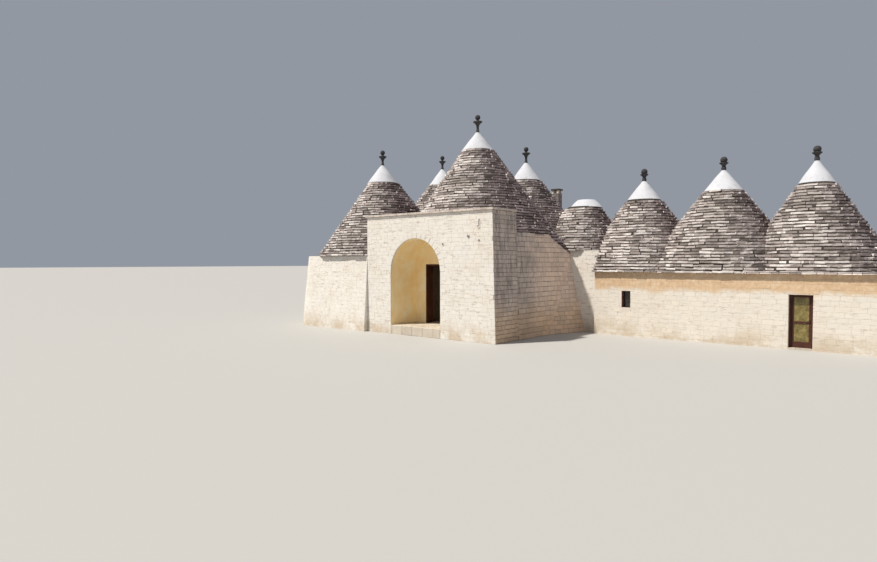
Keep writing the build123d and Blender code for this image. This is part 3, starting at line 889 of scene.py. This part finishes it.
stone_sizes = {
    "Course rise": 0.2,
    "Stone length": 0.42,
    "Joint": 0.004,
    "Arris": 0.007,
    "Proud": 0.008,
    "Bed depth": 0.03,
    "Uneven": 0.014,
    "Fall starts": 0.0,
    "Fall": 0.0,
    "Batter height": 3.6,
    "Batter": 0.0,
    "End batter": 0.0,
    "Corner at": 999.0,
    "Corner radius at top": 0.0,
    "Corner radius at foot": 0.0,
    "Side shrink": 1.0,
    "Arch spring": 0.0,
    "Arch radius": 0.0,
}
for gap in ("Gap 1 ", "Gap 2 "):
    stone_sizes.update({gap + "from": 0.0, gap + "to": 0.0, gap + "foot": -9.0, gap + "head": -9.0})
wall_tree, g, given = new_tree(
    "coursed_stones",
    {
        "Object": ["Stone"],
        "Vector": ["Start", "Along", "Out", "Lowest corner", "Highest corner"],
        "Float": ["Length", "Foot level", "Top level", *stone_sizes],
        "Int": ["Courses", "Stones in a course", "Seed"],
        "Bool": ["Mirrored"],
        "Material": ["Finish"],
    },
    "Stones",
)
seed = given["Seed"]
rise = given["Course rise"]
uneven = given["Uneven"]
stones = course_points(g, given)
amount = {"Amount": given["Stones in a course"]}
stones = g.on(stones, "DuplicateElements", amount, domain="POINT")
course_level = g.split(g.node("GeometryNodeInputPosition"))["Z"]
course = ((course_level - given["Foot level"]) / rise).maths("ROUND")
number = course * 211 + stones["Duplicate Index"]
first = stones["Duplicate Index"] + g.chance(-1.0, 0.0, seed + 1, course)
from_s = (first + g.chance(-0.26, 0.26, seed + 2, number)) * given["Stone length"]
to_s = (first + 1 + g.chance(-0.26, 0.26, seed + 2, number + 1)) * given["Stone length"]
middle_level = course_level + rise * 0.5
height_left = g.clamp(1 - middle_level / given["Batter height"])
end_s = given["Length"] + given["End batter"] * height_left
from_s = from_s.most(0.0).least(end_s)
to_s = to_s.most(0.0).least(end_s)
# No stone lies in the two openings; over its spring the first is as wide as its arch.
for gap in ("Gap 1 ", "Gap 2 "):
    half = (given[gap + "to"] - given[gap + "from"]) * 0.5
    centre = (given[gap + "to"] + given[gap + "from"]) * 0.5
    if gap == "Gap 1 ":
        radius = given["Arch radius"]
        over_spring = middle_level - given["Arch spring"]
        arched = (over_spring > 0) * (radius > 0)
        half_squared = (radius * radius - over_spring * over_spring).most(0.0)
        half = arched * half_squared.maths("SQRT") + (1 - arched) * half
    beside = (middle_level > given[gap + "foot"]) * (middle_level < given[gap + "head"])
    leads = (from_s + to_s) * 0.5 < centre
    before = beside * leads
    behind = beside * (1 - leads)
    to_s = before * to_s.least(centre - half) + (1 - before) * to_s
    from_s = behind * from_s.most(centre + half) + (1 - behind) * from_s


def top_at(run):
    """The level of the wall's top this far along it."""
    return given["Top level"] - given["Fall"] * (run - given["Fall starts"]).most(0.0)


top_here = top_at((from_s + to_s) * 0.5)
for name, value in [("from_s", from_s), ("to_s", to_s), ("course_level", course_level)]:
    stones = g.stored(stones, name, value)
slivers = (g.kept("to_s") - g.kept("from_s") < 0.05) + (g.kept("course_level") > top_here - 0.03)
stones = g.on(stones, "DeleteGeometry", {"Selection": slivers}, domain="POINT")
stones = g.on(stones, "SetPosition", {"Position": g.point(X=0.0)})
pattern = g.node("GeometryNodeObjectInfo", {"Object": given["Stone"]})["Geometry"]
stones = g.on(stones, "InstanceOnPoints", {"Instance": pattern})
stones = g.stored(stones, "tone", g.chance(0.0, 1.0, seed + 3), "INSTANCE")
stones = g.on(stones, "RealizeInstances")
local = g.split(g.node("GeometryNodeInputPosition"))


def set_out(value, half_size):
    """From one to the half size, with the inner corners an arris inside it."""
    inner = value.maths("ABSOLUTE") < 0.95
    return value.maths("SIGN") * (half_size - given["Joint"] * 0.5 - inner * given["Arris"])


half_length = (g.kept("to_s") - g.kept("from_s")) * 0.5
s = (g.kept("from_s") + g.kept("to_s")) * 0.5 + set_out(local["X"], half_length)
level = g.kept("course_level") + rise * 0.5 + set_out(local["Z"], rise * 0.5)
ring = local["Y"]
proud = given["Proud"]
depth = (ring < 0.25) * (0 - given["Bed depth"])
depth += (ring > 0.25) * (ring < 0.75) * proud * 0.35
depth += (ring > 0.75) * proud * (g.kept("tone") * 0.5 + 0.75)
where = g.point(X=s, Y=seed * 3.1, Z=level)
sway = g.node("ShaderNodeTexNoise", {"Vector": where, "Scale": 3.7, "Detail": 2.0})["Color"]
sway = g.split(sway)
s = s + (sway["X"] - 0.5) * uneven
level = level + (sway["Y"] - 0.5) * uneven
depth = depth + (ring > 0.25) * (sway["Z"] - 0.5) * uneven * 0.3
level = level.most(0.0).least(top_at(s))
s = s.most(0.0)
low_share = g.clamp(1 - level / given["Batter height"])
corner_at = given["Corner at"]
top_radius = given["Corner radius at top"]
foot_radius = given["Corner radius at foot"]
arc = (top_radius * (math.pi / 2)).most(0.001)
turn = g.clamp((s - corner_at) / arc) * (math.pi / 2)
turn_sin = turn.maths("SINE")
turn_cos = turn.maths("COSINE")
past = (s - corner_at - arc).most(0.0)
run_top = s.least(corner_at) + top_radius * turn_sin
run_foot = s.least(corner_at) + foot_radius * turn_sin
out_top = 0 - top_radius + top_radius * turn_cos - past
out_foot = given["Batter"] - foot_radius + foot_radius * turn_cos
out_foot = out_foot - past * given["Side shrink"]
run = run_top + (run_foot - run_top) * low_share + depth * turn_sin
out_by = out_top + (out_foot - out_top) * low_share + depth * turn_cos
where = g.point(Z=level)
for way, distance in [("Out", out_by), ("Along", run)]:
    step = g.node("ShaderNodeVectorMath", {"Vector": given[way], "Scale": distance}, operation="SCALE")
    where = g.vectors("ADD", step, where)
where = g.vectors("ADD", where, given["Start"])
where = g.vectors("MAXIMUM", where, given["Lowest corner"])
where = g.vectors("MINIMUM", where, given["Highest corner"])
stones = g.on(stones, "SetPosition", {"Position": where})
stones = g.on(stones, "FlipFaces", {"Selection": given["Mirrored"]})
stones = g.on(stones, "SetMaterial", {"Material": given["Finish"]})
g.node("NodeGroupOutput", {"Stones": stones})


def coursed(name, start, along, out, length, foot, top, finish, slot, seed, **given_sizes):
    """A run of coursed stones on the face of a wall."""
    values = dict(stone_sizes)
    values.update({key.replace("_", " ").capitalize(): size for key, size in given_sizes.items()})
    whole_length = length + values["End batter"]
    values.update(
        {
            "Stone": squared_stone,
            "Start": (*start, 0.0),
            "Along": (*along, 0.0),
            "Out": (*out, 0.0),
            "Length": length,
            "Foot level": foot,
            "Top level": top,
            "Courses": math.ceil((top - foot) / values["Course rise"] - 0.01),
            "Stones in a course": int(whole_length / values["Stone length"]) + 3,
            "Lowest corner": tuple(cad_bounds[0]),
            "Highest corner": tuple(cad_bounds[1]),
            "Mirrored": along[0] * out[1] - along[1] * out[0] < 0,
            "Finish": finish,
            "Seed": seed,
        }
    )
    return grown(name, wall_tree, values)


# The way along a face and the way out of it.
front = ((1, 0), (0, -1))
right_side = ((0, 1), (1, 0))
left_side = ((0, -1), (-1, 0))
rear = ((-1, 0), (0, 1))
white = (limewash, "limewashed_stone")
bare = (bare_stone, "bare_limestone")
wear_and_painted_shade = {"joint": 0.014, "arris": 0.014, "proud": 0.014, "uneven": 0.026}
leaning = {"batter": corner_lean, "batter_height": facade_top}
coursed(
    "facade_front_stones", (facade_left, facade_face), *front, 7.212, 0.0, facade_top, *white, 301,
    course_rise=0.18, stone_length=0.38, gap_1_from=1.54, gap_1_to=4.50, gap_1_foot=-1.0,
    gap_1_head=4.56, arch_spring=arch_spring, arch_radius=1.68, end_batter=corner_lean,
    batter_height=facade_top,
)
coursed(
    "facade_right_side_stones", (facade_right, facade_face), *right_side, 1.75, 0.0, facade_top,
    *bare, 302, course_rise=0.18, stone_length=0.36, bed_depth=0.1, **leaning, **wear_and_painted_shade,
)
coursed(
    "facade_left_side_stones", (facade_left, facade_back), *left_side, 1.762, 3.6, facade_top,
    *white, 303, course_rise=0.18, stone_length=0.36,
)
coursed(
    "main_right_wall_stones", (facade_right, facade_back), *right_side, 4.75, 0.0, main_eave,
    *bare, 304, course_rise=0.22, fall_starts=shoulder_y - facade_back, fall=shoulder_fall,
    bed_depth=0.2, **leaning, **wear_and_painted_shade,
)
coursed(
    "corner_buttress_stones", (-0.7822, -1.9454), (0.27516, 0.9614), (0.9614, -0.27516), 3.03,
    0.0, 3.55, *bare, 305, stone_length=0.40, batter=0.798, batter_height=3.55, **wear_and_painted_shade,
)
coursed(
    "left_range_stones", (facade_left, facade_face), (-1, 0), (0, -1), 16.271, 0.0, left_eave,
    *white, 306, bed_depth=0.27, batter=0.25, corner_at=4.1, corner_radius_at_top=1.0,
    corner_radius_at_foot=1.75, side_shrink=0.9528,
)
coursed("link_front_stones", (facade_right, link_face), *front, 1.5, 0.0, link_eave, *white, 307)
coursed(
    "wing_front_stones", (wing_corner, wing_face), *front, 11.408, -0.13, wing_eave, *white, 308,
    gap_1_from=1.31, gap_1_to=1.71, gap_1_foot=1.27, gap_1_head=2.01,
    gap_2_from=7.87, gap_2_to=8.67, gap_2_foot=-1.0, gap_2_head=2.12,
)
coursed("wing_end_stones", (wing_end, wing_face), *right_side, 5.5, 0.0, wing_eave, *white, 309)
for name, start_x, length, top, end_batter, seed in [
    ("wing_rear_stones", wing_end, 11.4, wing_eave, 0.0, 310),
    ("link_rear_stones", wing_corner, 3.4, link_eave, 0.0, 311),
    ("main_rear_stones", -1.915, 5.3, main_eave, 0.0, 312),
    ("left_rear_stones", facade_left, 5.1, left_eave, 0.75, 313),
]:
    coursed(
        name, (start_x, rear_face), *rear, length, 0.0, top, *white, seed, end_batter=end_batter
    )
for name, start, way, seed in [
    ("wing_front_eaves", (1.42, 0.165), front, 317),
    ("wing_rear_eaves", (12.92, 6.0), rear, 318),
]:
    coursed(
        name, start, *way, 11.50, wing_eave, 2.925, slab_stone, "roof_slabs", seed,
        course_rise=0.085, stone_length=0.36, joint=0.012, arris=0.014, proud=-0.03, uneven=0.05,
        bed_depth=0.42,
    )
for name, start, way, length, foot, top, seed in [
    ("link_right_stones", (wing_corner, link_face), right_side, 5.1, 2.65, link_eave, 314),
    ("main_left_top_stones", (facade_left, rear_face), left_side, 9.85, 3.55, main_eave, 315),
    ("link_step_stones", (-1.315, link_face), right_side, 5.1, 3.75, main_eave, 316),
]:
    coursed(name, start, *way, length, foot, top, *white, seed)


# Coping: thin flat limestone slabs bedded on the head of the facade, oversailing
# it on three sides to throw the rain clear; limewashed with it.
coping_stone, r = finish_of("coping_stone", 0.88)
patches = r.noise(4.0, 5.0, 0.65)
dark, middle, light = (0.44, 0.37, 0.32), (0.62, 0.54, 0.48), (0.74, 0.68, 0.62)
stone = r.ramp(patches, (0.3, dark), (0.5, middle), (0.7, light))
stone = r.mix(0.6, stone, toned(r, 0.75, 1.0), "MULTIPLY")
r.feed(Base_Color=stone, Height=(patches + r.noise(24.0, 3.0) * 0.4, 0.5, 0.015))
for name, start, way, length, depth, seed in [
    ("coping_front", (-7.295, -5.845), front, 7.36, 0.77, 320),
    ("coping_right", (0.065, -5.07), right_side, 1.055, 0.45, 321),
    ("coping_left", (-7.295, facade_back), left_side, 1.055, 0.45, 322),
]:
    piece = coursed(
        name, start, *way, length, facade_top, 5.5, coping_stone, "coping_stone", seed,
        course_rise=0.1, stone_length=0.55, joint=0.012, arris=0.012, proud=0.0, uneven=0.02,
        bed_depth=depth,
    )
    if name == "coping_front":
        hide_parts("facade_coping")


# Dressed stones: the voussoirs of the porch arch, cut to a wedge and set on a
# timber centring, and the lintels and sill of the wing's window and door.
def dressed_stone(shape, corners, inward, arris=0.012):
    """Adds a cut stone: the corners of its face, and how far it runs in behind them."""
    corners = [Vector(corner) for corner in corners]
    inward = Vector(inward)
    centre = sum(corners, Vector()) / 4
    rings = [
        [corner + inward for corner in corners],
        [corner + inward.normalized() * arris for corner in corners],
        [corner + (centre - corner).normalized() * arris * 1.4 for corner in corners],
    ]
    add_rings(shape, rings)


def upright(low_x, high_x, low_z, high_z, y):
    """The corners of an upright face that looks to the front."""
    return [(x, y, z) for x, z in squared(low_x, high_x, low_z, high_z)]


def level_face(low_x, high_x, low_y, high_y, z):
    """The corners of a level face that looks up."""
    return [(x, y, z) for x, y in squared(low_x, high_x, low_y, high_y)]


shape = bmesh.new()
voussoirs = 19
inner, outer = 1.474, 1.76
for number in range(voussoirs):
    low = math.pi * number / voussoirs + 0.003
    high = math.pi * (number + 1) / voussoirs - 0.003
    y = facade_face - 0.012 - 0.004 * math.sin(number * 2.3)
    ring = [
        (arch_x + radius * math.cos(angle), y, arch_spring + radius * math.sin(angle))
        for angle, radius in ((low, inner), (low, outer), (high, outer), (high, inner))
    ]
    dressed_stone(shape, ring, (0, 0.09, 0))
for low_x, high_x, low_z, high_z, proud, depth in [
    (2.605, 3.385, 2.01, 2.20, 0.014, 0.20),
    (2.745, 3.245, 1.20, 1.268, 0.012, 0.24),
    (9.155, 10.355, 2.12, 2.33, 0.014, 0.16),
]:
    dressed_stone(shape, upright(low_x, high_x, low_z, high_z, wing_face - proud), (0, depth, 0))
finished(shape, "dressed_stones", limewash)


# Chimney of the rear cone: a square stack of small squared stones with a flat
# slab over its smoke outlets, both darkened partly by soot and partly as painted shade, the slab near
# black.
soot_and_shade_finishes = []
for name, scale, dark, light in [
    ("charred_slab", 9.0, (0.025, 0.022, 0.02), (0.10, 0.085, 0.075)),
    ("sooty_stone", 6.0, (0.10, 0.085, 0.08), (0.30, 0.255, 0.24)),
]:
    finish, r = finish_of(name, 0.9)
    soot_and_shade = r.noise(scale, 5.0, 0.7)
    r.feed(Base_Color=r.ramp(soot_and_shade, (0.3, dark), (0.7, light)), Height=(soot_and_shade, 0.6, 0.02))
    soot_and_shade_finishes.append(finish)
charred_slab, sooty_stone = soot_and_shade_finishes
for number, (start, way) in enumerate(
    [
        ((-2.515, 3.435), front),
        ((-2.115, 3.435), right_side),
        ((-2.115, 3.835), rear),
        ((-2.515, 3.835), left_side),
    ]
):
    coursed(
        "chimney_stones_" + str(number + 1), start, *way, 0.4, 5.56, 7.0,
        sooty_stone, "bare_limestone", 330 + number, course_rise=0.18, stone_length=0.24,
    )
shape = bmesh.new()
dressed_stone(shape, level_face(-2.555, -2.075, 3.395, 3.875, 7.25), (0, 0, -0.08))
slab = finished(shape, "chimney_cover", charred_slab)
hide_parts("chimney_slab")


# Floors: worn limestone flags in the main room and the wing, rubbed smooth along
# the middle, and the thick slabs of the porch floor with their rounded front edge.
flags, r = finish_of("floor_flags", 0.7)
flag = r.node(
    "ShaderNodeTexBrick",
    {
        "Vector": r.place, "Color1": (0.62, 0.55, 0.45, 1), "Color2": (0.48, 0.42, 0.34, 1),
        "Mortar": (0.22, 0.18, 0.14, 1), "Scale": 1.0, "Mortar Size": 0.012, "Mortar Smooth": 0.4,
        "Bias": 0.0, "Brick Width": 0.62, "Row Height": 0.46,
    },
    offset=0.5,
    squash=1.0,
)
wear = r.noise(5.0, 5.0, 0.6)
r.feed(
    Base_Color=r.mix(r.between(wear, 0.4, 0.7) * 0.5, flag, (0.70, 0.63, 0.53, 1)),
    Roughness=wear * 0.3 + 0.55,
    Height=((1 - flag["Fac"]) + wear * 0.3, 0.6, 0.01),
)
for floor_node in ("main_floor", "wing_floor"):
    nodes[floor_node].data.materials[0] = flags
shape = bmesh.new()
breaks = [-5.675, -5.02, -4.47, -3.86, -3.33, -2.715]
for row, (slab_front, slab_back) in enumerate([(-5.79, -5.19), (-5.186, -4.62), (-4.616, -4.015)]):
    joints = [place + 0.12 * math.sin(7.3 * row + 2.0 * place) for place in breaks]
    for number, (left, right) in enumerate(zip(breaks, breaks[1:])):
        low_x = left if number == 0 else joints[number] + 0.003
        high_x = right if right == breaks[-1] else joints[number + 1] - 0.003
        level = 0.408 + 0.006 * math.sin(5.1 * row + 3.7 * left)
        corners = level_face(low_x, high_x, slab_front, slab_back, level)
        dressed_stone(shape, corners, (0, 0, -0.40), arris=0.016)
finished(shape, "porch_slabs", flags)


# Joinery: the wing's glazed door, the small window and the lining of the main
# doorway, in planed timber painted a dark red-brown. The uneven olive colour of
# the door's glass is a painted reflection of the garden.
timber, r = finish_of("door_timber", 0.5)
figure = r.noise(1.0, 4.0, 0.6, stretch=(60.0, 60.0, 3.0))
scuffs = r.between(r.noise(12.0, 4.0), 0.62, 0.72)
dark, middle, light = (0.040, 0.014, 0.010), (0.085, 0.030, 0.020), (0.13, 0.055, 0.038)
paint = r.ramp(figure, (0.3, dark), (0.55, middle), (0.8, light))
r.feed(
    Base_Color=r.mix(scuffs * 0.5, paint, (0.20, 0.11, 0.075, 1)),
    Roughness=figure * 0.3 + 0.42,
    Height=(figure, 0.3, 0.002),
)
# Painted reflection: the door's panes are an opaque mottled olive for the garden reflected in them.
glass_painted_reflection, r = finish_of("glass_painted_reflection", 0.12, 0.5)
pane_mottle = r.noise(4.5, 4.0, 0.7)
dark, middle, light = (0.07, 0.052, 0.012), (0.19, 0.145, 0.045), (0.36, 0.30, 0.115)
r.feed(
    Base_Color=r.ramp(pane_mottle, (0.3, dark), (0.5, middle), (0.72, light)),
    Roughness=pane_mottle * 0.2 + 0.08,
    Height=(r.noise(3.0, 2.0), 0.4, 0.01),
)
# Painted shade: the small window's pane is an opaque near black for the dark room behind it.
pane_painted_dark, r = finish_of("window_glass", 0.1, 0.5)
pane_mottle = r.noise(6.0, 3.0)
r.feed(
    Base_Color=r.ramp(pane_mottle, (0.3, (0.012, 0.010, 0.010)), (0.7, (0.05, 0.042, 0.038))),
    Roughness=r.noise(4.0) * 0.12 + 0.06,
)
for joinery, finish in [
    ("wing_door_frame", timber),
    ("wing_door_leaf", timber),
    ("window_frame", timber),
    ("wing_door_panes", glass_painted_reflection),
    ("window_pane", pane_painted_dark),
]:
    nodes[joinery].data.materials[0] = finish
shape = bmesh.new()
for low_x, high_x, low_z, high_z in [
    (-5.065, -5.0, 0.42, 3.13), (-3.03, -2.965, 0.42, 3.13), (-5.065, -2.965, 3.132, 3.2),
]:
    corners = upright(low_x, high_x, low_z, high_z, -4.0)
    dressed_stone(shape, corners, (0, 0.43, 0), arris=0.008)
finished(shape, "doorway_lining", timber)


# Ironwork: hand-forged fittings driven into the facade's joints, a hook bar by
# the coping, a wall tie and two eyes, and the handle of the wing's door.
iron, r = finish_of("forged_iron", 0.6)
scale = r.noise(40.0, 4.0, 0.7)
r.feed(
    Base_Color=r.ramp(scale, (0.35, (0.018, 0.016, 0.016)), (0.7, (0.10, 0.055, 0.035))),
    Metallic=1 - r.between(scale, 0.45, 0.65),
    Roughness=scale * 0.35 + 0.45,
    Height=(scale, 0.4, 0.002),
)


def bent_rod(shape, path, radius, sides=8):
    """Adds a round rod along a path of points, closed at both ends."""
    path = [Vector(point) for point in path]
    rings = []
    for number, point in enumerate(path):
        ahead = path[min(number + 1, len(path) - 1)] - path[max(number - 1, 0)]
        ahead.normalize()
        across = ahead.cross(Vector((0.31, 0.87, 0.38))).normalized()
        other = ahead.cross(across)
        ring = []
        for step in range(sides):
            turn = math.tau * step / sides
            spread = across * radius * math.cos(turn) + other * radius * math.sin(turn)
            ring.append(point + spread)
        rings.append(ring)
    add_rings(shape, rings)


shape = bmesh.new()
face = -5.775
bar_x = -0.63
bar = [(bar_x, face + 0.04, 5.04), (bar_x, face - 0.03, 5.04), (bar_x, face - 0.045, 5.02)]
bar.append((bar_x, face - 0.045, 4.80))
for step in range(1, 8):
    turn = math.pi * step / 8
    bar.append((bar_x - 0.05 * (1 - math.cos(turn)), face - 0.045, 4.80 - 0.05 * math.sin(turn)))
bent_rod(shape, bar, 0.012)
tie_x, tie_z = -1.193, 4.372
swirl = [(tie_x, face + 0.03, tie_z), (tie_x, face - 0.015, tie_z)]
for step in range(1, 14):
    turn = 0.5 * step
    radius = 0.012 + 0.009 * turn
    swirl.append((tie_x + radius * math.cos(turn), face - 0.018, tie_z + radius * math.sin(turn)))
bent_rod(shape, swirl, 0.010)
for x, z in ((-0.643, 4.215), (-2.555, 4.09)):
    bent_rod(shape, [(x, face + 0.04, z), (x, face - 0.02, z)], 0.011)
    eye = [
        (x + 0.028 * math.sin(turn), face - 0.02, z - 0.028 + 0.028 * math.cos(turn))
        for turn in [math.tau * step / 12 for step in range(12)]
    ]
    bent_rod(shape, eye + eye[:1], 0.008)
finished(shape, "facade_ironwork", iron, smooth=60)

shape = bmesh.new()
plate = upright(10.018, 10.052, 0.98, 1.14, 0.526)
dressed_stone(shape, plate, (0, 0.006, 0), arris=0.002)
lever = [(10.035, 0.529, 1.08), (10.035, 0.497, 1.08), (10.032, 0.490, 1.08)]
lever += [(10.024, 0.488, 1.08), (9.96, 0.488, 1.077), (9.93, 0.492, 1.072)]
bent_rod(shape, lever, 0.008)
finished(shape, "door_handle", iron, smooth=40, body="wing_door")

bpy.data.objects.remove(squared_stone)
